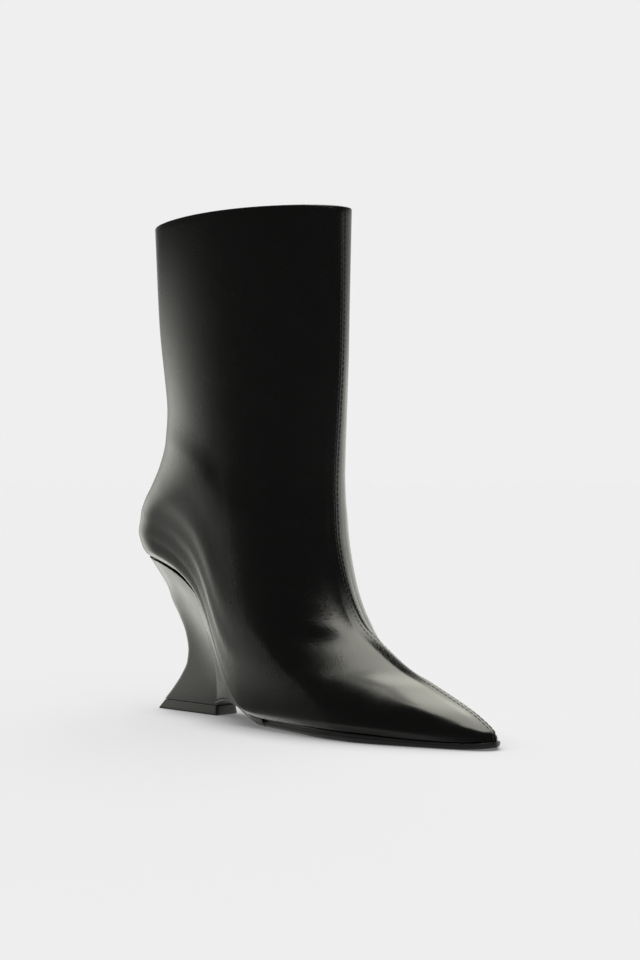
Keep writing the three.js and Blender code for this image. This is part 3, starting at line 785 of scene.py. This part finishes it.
class Nodes:
    """A small helper to build a procedural material."""

    def __init__(self, name):
        self.material = bpy.data.materials.new(name)
        self.material.use_nodes = True
        self.tree = self.material.node_tree
        self.shader = self.tree.nodes["Principled BSDF"]

    def join(self, source, target):
        self.tree.links.new(source, target)

    def feed(self, value, target):
        """Sets a socket to a number, or joins it to another node's output."""
        if isinstance(value, (int, float)):
            target.default_value = value
        else:
            self.join(value, target)

    def place(self):
        """Coordinates in the object's own space."""
        return self.tree.nodes.new("ShaderNodeTexCoord").outputs["Object"]

    def math(self, operation, a, b):
        node = self.tree.nodes.new("ShaderNodeMath")
        node.operation = operation
        self.feed(a, node.inputs[0])
        self.feed(b, node.inputs[1])
        return node.outputs[0]

    def split(self, vector):
        node = self.tree.nodes.new("ShaderNodeSeparateXYZ")
        self.join(vector, node.inputs[0])
        return node.outputs

    def blend(self, factor, first, second):
        """The first shader where the factor is 0 and the second where it is 1."""
        node = self.tree.nodes.new("ShaderNodeMixShader")
        self.join(factor, node.inputs["Fac"])
        self.join(first, node.inputs[1])
        self.join(second, node.inputs[2])
        return node.outputs[0]

    def remap(self, value, low, high, to_low, to_high):
        node = self.tree.nodes.new("ShaderNodeMapRange")
        self.join(value, node.inputs["Value"])
        for name, number in zip(("From Min", "From Max", "To Min", "To Max"), (low, high, to_low, to_high)):
            node.inputs[name].default_value = number
        return node.outputs["Result"]


def noise(nodes, vector, scale, detail=3.0, roughness=0.5):
    node = nodes.tree.nodes.new("ShaderNodeTexNoise")
    node.inputs["Scale"].default_value = scale
    node.inputs["Detail"].default_value = detail
    node.inputs["Roughness"].default_value = roughness
    nodes.join(vector, node.inputs["Vector"])
    return node.outputs["Fac"]


def cells(nodes, vector, scale, feature="F1"):
    node = nodes.tree.nodes.new("ShaderNodeTexVoronoi")
    node.feature = feature
    node.inputs["Scale"].default_value = scale
    nodes.join(vector, node.inputs["Vector"])
    return node.outputs["Distance"]


def bump(nodes, height, strength, distance, normal=None):
    node = nodes.tree.nodes.new("ShaderNodeBump")
    node.inputs["Distance"].default_value = distance
    nodes.feed(strength, node.inputs["Strength"])
    nodes.join(height, node.inputs["Height"])
    if normal is not None:
        nodes.join(normal, node.inputs["Normal"])
    return node.outputs["Normal"]


def ramp_colour(nodes, value, dark, light):
    node = nodes.tree.nodes.new("ShaderNodeMix")
    node.data_type = "RGBA"
    nodes.join(value, node.inputs["Factor"])
    node.inputs["A"].default_value = (*dark, 1)
    node.inputs["B"].default_value = (*light, 1)
    return node.outputs["Result"]


# Cells of grain, creases between them and fine unevenness, each per metre
PEBBLES = 950
CREASES = 800
FINE_GRAIN = 2600
# Slow unevenness of the hide, its colour and its gloss, per metre
HIDE_WAVES = 55
HIDE_CLOUDS = 28
HIDE_GLOSS = 90
WAVE_STRENGTH = 0.05
WAVE_DEPTH = 0.0006
GRAIN_DEPTH = 0.00012


def polished_leather(name, dark, light, rough, grain, by_attribute):
    n = Nodes(name)
    place = n.place()
    # Pebbled grain: cells of about a millimetre with fine creases between them
    pebble = cells(n, place, PEBBLES)
    creases = n.remap(cells(n, place, CREASES, "DISTANCE_TO_EDGE"), 0.0, 0.22, 0.0, 1.0)
    fine = noise(n, place, FINE_GRAIN, 2.0)
    height = n.math("ADD", n.math("MULTIPLY", pebble, -0.6), n.math("MULTIPLY", creases, 0.3))
    height = n.math("ADD", height, n.math("MULTIPLY", fine, 0.5))
    if by_attribute:
        show = n.tree.nodes.new("ShaderNodeAttribute")
        show.attribute_name = "grain"
        strength = n.math("MULTIPLY", show.outputs["Fac"], grain)
    else:
        strength = grain
    grained = bump(n, height, strength, GRAIN_DEPTH)
    uneven = noise(n, place, HIDE_WAVES, 3.0, 0.55)
    waves = bump(n, uneven, WAVE_STRENGTH, WAVE_DEPTH, grained)
    n.join(waves, n.shader.inputs["Normal"])
    n.join(bump(n, uneven, WAVE_STRENGTH, WAVE_DEPTH), n.shader.inputs["Coat Normal"])
    cloudy = noise(n, place, HIDE_CLOUDS, 4.0, 0.6)
    n.join(ramp_colour(n, cloudy, dark, light), n.shader.inputs["Base Color"])
    gloss = noise(n, place, HIDE_GLOSS, 4.0, 0.6)
    uneven_gloss = n.remap(gloss, 0.3, 0.7, rough - 0.035, rough + 0.045)
    if by_attribute:
        uneven_gloss = n.math("ADD", uneven_gloss, n.math("MULTIPLY", show.outputs["Fac"], 0.06))
    n.join(uneven_gloss, n.shader.inputs["Roughness"])
    n.shader.inputs["IOR"].default_value = 1.5
    n.shader.inputs["Coat Weight"].default_value = 0.15
    n.shader.inputs["Coat Roughness"].default_value = 0.12
    n.shader.inputs["Coat IOR"].default_value = 1.45
    return n.material


def matt_surface(name, dark, light, rough, scale, depth):
    """Lining, sock or rubber: finely uneven at a scale per metre, and not polished."""
    n = Nodes(name)
    place = n.place()
    pores = n.math("MULTIPLY", cells(n, place, scale * 0.6), 0.5)
    height = n.math("ADD", noise(n, place, scale, 4.0), pores)
    n.join(bump(n, height, depth, 0.00015), n.shader.inputs["Normal"])
    n.join(ramp_colour(n, noise(n, place, 35, 4.0, 0.6), dark, light), n.shader.inputs["Base Color"])
    n.join(n.remap(noise(n, place, 120, 3.0), 0.3, 0.7, rough - 0.05, rough + 0.05),
           n.shader.inputs["Roughness"])
    return n.material


def thread(name):
    n = Nodes(name)
    place = n.place()
    n.join(bump(n, noise(n, place, 5200, 2.0), 0.5, 0.0001), n.shader.inputs["Normal"])
    n.join(ramp_colour(n, noise(n, place, 400, 2.0), (0.012, 0.012, 0.011), (0.03, 0.03, 0.028)),
           n.shader.inputs["Base Color"])
    n.shader.inputs["Roughness"].default_value = 0.42
    n.shader.inputs["Sheen Weight"].default_value = 0.25
    return n.material


leather = polished_leather(
    "upper_leather", (0.0018, 0.0019, 0.0018), (0.0036, 0.0037, 0.0034), rough=0.18, grain=0.75,
    by_attribute=True)
wedge_leather = polished_leather(
    "wedge_leather", (0.003, 0.0032, 0.003), (0.006, 0.0062, 0.0056), rough=0.27, grain=0.05,
    by_attribute=False)
lining_leather = matt_surface(
    "lining_leather", (0.022, 0.021, 0.02), (0.034, 0.032, 0.03), rough=0.55, scale=1500, depth=0.3)
sock_leather = matt_surface(
    "insole_leather", (0.026, 0.025, 0.023), (0.038, 0.036, 0.033), rough=0.5, scale=1300, depth=0.3)
sole_rubber = matt_surface(
    "sole_rubber", (0.010, 0.010, 0.010), (0.017, 0.017, 0.016), rough=0.36, scale=2400, depth=0.16)
heel_rubber = matt_surface(
    "top_piece_rubber", (0.013, 0.013, 0.012), (0.022, 0.022, 0.020), rough=0.42, scale=2200, depth=0.22)
black_thread = thread("black_thread")

upper, moved, normal, away = make_upper(leather, lining_leather)
stitch_paths = [stitch_path(moved, normal, away, offset) for offset in STITCH_ROWS]
stitches = make_stitches("seam_stitches", stitch_paths, black_thread)
insole = make_insole(sock_leather)
outsole = make_outsole(sole_rubber)
wedge = make_wedge(wedge_leather)
top_piece = make_top_piece(heel_rubber)

for obj in (upper, stitches, insole, outsole, wedge, top_piece):
    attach(obj, "root")
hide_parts("upper")
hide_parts("insole")
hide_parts("outsole")
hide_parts("wedge_heel")
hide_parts("top_piece")

# Floor

FLOOR_GREY = 0.42
FLOOR_GLOW = 0.6
FLOOR_REACH = 60.0
SHADOW_REACH = 0.03


def make_floor():
    mesh = bpy.data.meshes.new("floor")
    corners = [(x * FLOOR_REACH, y * FLOOR_REACH, 0) for x, y in ((-1, -1), (1, -1), (1, 1), (-1, 1))]
    mesh.from_pydata(corners, [], [(0, 1, 2, 3)])
    floor = bpy.data.objects.new("floor", mesh)
    bpy.context.scene.collection.objects.link(floor)
    n = Nodes("floor")
    n.shader.inputs["Base Color"].default_value = (FLOOR_GREY, FLOOR_GREY, FLOOR_GREY, 1)
    n.shader.inputs["Roughness"].default_value = 1.0
    n.shader.inputs["Specular IOR Level"].default_value = 0.0
    n.shader.inputs["Emission Color"].default_value = (1, 1, 1, 1)
    # The glow fades in the narrow gaps under the boot, as a contact shadow does
    nearby = n.tree.nodes.new("ShaderNodeAmbientOcclusion")
    nearby.samples = 8
    nearby.inputs["Distance"].default_value = SHADOW_REACH
    n.join(n.remap(nearby.outputs["AO"], 0.25, 0.95, FLOOR_GLOW * 0.25, FLOOR_GLOW),
           n.shader.inputs["Emission Strength"])
    mesh.materials.append(n.material)
    floor.visible_glossy = False


make_floor()

# Studio light: a large panel overhead, a pale backdrop and a pale floor, as light from all directions.
# Seen from in front of the boot's outer side, right is +X+Y and back is -X+Y.

DIAGONAL = sqrt(0.5)
OVERHEAD = 5.2
BACKDROP = 0.65
ROOM = 0.075
FLOOR_LIGHT = 0.46
BACKGROUND = 0.863
# Where a light starts and ends, and how softly it does so at each end: on the ceiling, then by azimuth
OVERHEAD_ACROSS = (-0.19, 0.5, 0.05, 0.22)
OVERHEAD_DEEP = (-0.7, 1.5, 0.16, 0.4)
BACKDROP_SPAN = (-0.3, 1.6, 0.25, 0.3)
PALE_FLOOR_SPAN = (-0.3, 1.6, 0.4, 0.4)
RIGHT_FLOOR_SPAN = (0.26, 1.4, 0.1, 0.1)


class World(Nodes):
    """The same helper for the light that comes from all around."""

    def __init__(self):
        world = bpy.data.worlds.new("studio")
        bpy.context.scene.world = world
        world.use_nodes = True
        self.tree = world.node_tree
        self.background = self.tree.nodes["Background"]
        self.output = self.tree.nodes["World Output"]

    def span(self, value, low, high, soft_low, soft_high):
        """1 between low and high, fading to 0 over the soft widths outside them."""
        rising = self.remap(value, low - soft_low, low, 0, 1)
        falling = self.remap(value, high, high + soft_high, 1, 0)
        return self.math("MULTIPLY", rising, falling)


def to_right_and_back(n, x, y):
    right = n.math("ADD", n.math("MULTIPLY", x, DIAGONAL), n.math("MULTIPLY", y, DIAGONAL))
    back = n.math("ADD", n.math("MULTIPLY", x, -DIAGONAL), n.math("MULTIPLY", y, DIAGONAL))
    return right, back


def overhead_panel(w, right, back, z):
    height = w.math("MAXIMUM", z, 0.02)
    across = w.span(w.math("DIVIDE", right, height), *OVERHEAD_ACROSS)
    deep = w.span(w.math("DIVIDE", back, height), *OVERHEAD_DEEP)
    return w.math("MULTIPLY", w.math("MULTIPLY", across, deep), w.remap(z, 0.1, 0.3, 0, 1))


def reflected_floor(w, azimuth, z):
    """The floor as the gloss shows it: pale further out, darker close to the boot."""
    near = w.remap(z, -0.5, -0.77, 1, 0.4)
    shaded = w.math("SUBTRACT", 1, w.span(azimuth, *PALE_FLOOR_SPAN))
    front = w.remap(z, -0.6, -0.25, 0.5, 0.1)
    pale = w.math("MULTIPLY", w.math("SUBTRACT", 1, shaded), 0.8)
    floor = w.math("MULTIPLY", near, w.math("ADD", pale, w.math("MULTIPLY", shaded, front)))
    at_right = w.math("MULTIPLY", w.span(azimuth, *RIGHT_FLOOR_SPAN), w.remap(z, -0.3, -0.1, 0, 1.0))
    return w.math("MAXIMUM", floor, at_right)


def studio():
    w = World()
    x, y, z = w.split(w.tree.nodes.new("ShaderNodeTexCoord").outputs["Generated"])
    right, back = to_right_and_back(w, x, y)
    overhead = overhead_panel(w, right, back, z)
    # Azimuth seen from the boot: 0 at the back, positive to the right
    azimuth = w.math("ARCTAN2", right, back)
    backdrop = w.math("MULTIPLY", w.span(azimuth, *BACKDROP_SPAN), w.remap(z, 0.1, 0.4, 1, 0))
    total = w.math("ADD", w.math("MULTIPLY", overhead, OVERHEAD), w.math("MULTIPLY", backdrop, BACKDROP))
    total = w.math("ADD", total, ROOM)
    floor = reflected_floor(w, azimuth, z)
    below = w.remap(z, -0.03, 0.01, 1, 0)
    mirrored = w.math("ADD", w.math("MULTIPLY", total, w.math("SUBTRACT", 1, below)),
                      w.math("MULTIPLY", floor, below))
    tint = ramp_colour(w, overhead, (1.0, 1.0, 0.97), (1.0, 0.995, 0.88))
    w.join(tint, w.background.inputs["Color"])
    w.join(mirrored, w.background.inputs["Strength"])
    # A weaker and neutral copy lights the floor, and behind the boot a plain pale background shows
    lighting = w.tree.nodes.new("ShaderNodeBackground")
    w.join(w.math("MULTIPLY", total, FLOOR_LIGHT), lighting.inputs["Strength"])
    seen = w.tree.nodes.new("ShaderNodeBackground")
    seen.inputs["Color"].default_value = (BACKGROUND, BACKGROUND, BACKGROUND, 1)
    path = w.tree.nodes.new("ShaderNodeLightPath")
    gloss = w.blend(path.outputs["Is Glossy Ray"], lighting.outputs[0], w.background.outputs[0])
    w.join(w.blend(path.outputs["Is Camera Ray"], gloss, seen.outputs[0]), w.output.inputs["Surface"])


studio()

# Reflectors that show only in the boot's gloss, sizes in metres

CARD_AZIMUTH = 87
CARD_DISTANCE = 0.62
CARD_WIDTH = 0.78
CARD_TOP = 0.40
CARD_GLOW = 1.4
BOARD_GLOW = 2.0
BOARD_RIGHT = -0.247
BOARD_START = -0.018
BOARD_END = 0.42
BOARD_TOP = 0.33
STRIP_EDGE = -0.04
# Just above the floor, so that neither the board's foot nor the strip lies in it
BOARD_FOOT = 0.0012
STRIP_HEIGHT = 0.001


def glossy_only(obj):
    """Shows an object in the gloss of the boot and nowhere else."""
    obj.visible_camera = False
    obj.visible_diffuse = False
    obj.visible_shadow = False


def glowing(n, strength, cover):
    """Emission of a given strength that lets the rest of the light through where it does not cover."""
    emission = n.tree.nodes.new("ShaderNodeEmission")
    emission.inputs["Color"].default_value = (1.0, 1.0, 0.93, 1)
    n.join(strength, emission.inputs["Strength"])
    clear = n.tree.nodes.new("ShaderNodeBsdfTransparent")
    both = n.blend(cover, clear.outputs[0], emission.outputs[0])
    n.join(both, n.tree.nodes["Material Output"].inputs["Surface"])


def panel(name, corners):
    mesh = bpy.data.meshes.new(name)
    mesh.from_pydata(corners, [], [(0, 1, 2, 3)])
    obj = bpy.data.objects.new(name, mesh)
    bpy.context.scene.collection.objects.link(obj)
    n = Nodes(name)
    mesh.materials.append(n.material)
    return obj, n, n.split(n.place())


def card(name):
    """A reflector standing behind the boot and to its right, strongest in its lower half."""
    angle = radians(CARD_AZIMUTH)
    centre = Vector((cos(angle), sin(angle), 0)) * CARD_DISTANCE
    across = Vector((-sin(angle), cos(angle), 0)) * CARD_WIDTH / 2
    foot, head = Vector((0, 0, 0.002)), Vector((0, 0, CARD_TOP))
    corners = [tuple(spot) for spot in (centre - across + foot, centre + across + foot,
                                        centre + across + head, centre - across + head)]
    obj, n, (_, _, z) = panel(name, corners)
    fade = n.math("POWER", n.remap(z, CARD_TOP * 0.5, CARD_TOP, 1, 0), 2)
    glowing(n, n.math("MULTIPLY", fade, CARD_GLOW), fade)
    glossy_only(obj)


def from_studio(right, back, height):
    """A point given by its places to the right, to the back and up."""
    return (right - back) * DIAGONAL, (right + back) * DIAGONAL, height


def left_corners(right, low, other_right, high):
    """A long rectangle from one edge, given by its side and height, to the other edge."""
    first = [from_studio(right, back, low) for back in (BOARD_START, BOARD_END)]
    return first + [from_studio(other_right, back, high) for back in (BOARD_END, BOARD_START)]


def foot_glow(n, back):
    """The brightness low on the left board and on the floor before it, rising towards the back."""
    return n.math("ADD", n.remap(back, BOARD_START, 0.065, 0.0, 1.3), n.remap(back, 0.065, 0.18, 0.0, 1.0))


def finish_left(obj, n, back, glow, fade):
    """Dims a left reflector towards its far end, and fades it in at its near end."""
    glow = n.math("MULTIPLY", glow, n.remap(back, 0.25, BOARD_END, 1, 0.3))
    cover = n.math("MULTIPLY", fade, n.remap(back, BOARD_START, BOARD_START + 0.03, 0, 1))
    glowing(n, glow, cover)
    glossy_only(obj)


def left_board(name):
    """A long pale board that stands close to the boot's left."""
    obj, n, (x, y, z) = panel(name, left_corners(BOARD_RIGHT, BOARD_FOOT, BOARD_RIGHT, BOARD_TOP))
    _, back = to_right_and_back(n, x, y)
    begin = n.math("POWER", n.remap(back, BOARD_START, 0.15, 0.0, 1.0), 1.8)
    low = n.remap(z, 0.0, 0.13, 1, 0)
    above = n.math("MULTIPLY", n.math("MULTIPLY", begin, BOARD_GLOW), n.math("SUBTRACT", 1, low))
    glow = n.math("ADD", above, n.math("MULTIPLY", foot_glow(n, back), low))
    fade = n.math("POWER", n.remap(z, 0.165, 0.3, 1, 0), 1.4)
    finish_left(obj, n, back, glow, fade)


def left_strip(name):
    """The floor between the boot and the left board, which the board brightens."""
    obj, n, (x, y, _) = panel(name, left_corners(BOARD_RIGHT, STRIP_HEIGHT, STRIP_EDGE, STRIP_HEIGHT))
    right, back = to_right_and_back(n, x, y)
    fade = n.remap(right, -0.2, -0.06, 1, 0.3)
    finish_left(obj, n, back, foot_glow(n, back), fade)


left_board("board_left")
left_strip("floor_left")
card("card_right")

# Camera in front of the boot's outer side, level with its ankle

CAMERA_PLACE = (0.6881, -0.6832, 0.130)
CAMERA_LENS = 68.25
CAMERA_SHIFT = 2.0 / 960.0

camera_data = bpy.data.cameras.new("camera")
camera_data.lens = CAMERA_LENS
camera_data.sensor_width = 36.0
camera_data.shift_y = CAMERA_SHIFT
camera_data.clip_end = 200.0
camera = bpy.data.objects.new("camera", camera_data)
camera.location = CAMERA_PLACE
camera.rotation_euler = Vector((-1, 1, 0)).to_track_quat("-Z", "Y").to_euler()
bpy.context.scene.collection.objects.link(camera)
bpy.context.scene.camera = camera
bpy.context.scene.view_settings.view_transform = "Standard"
bpy.context.scene.view_settings.look = "None"

bpy.context.view_layer.update()
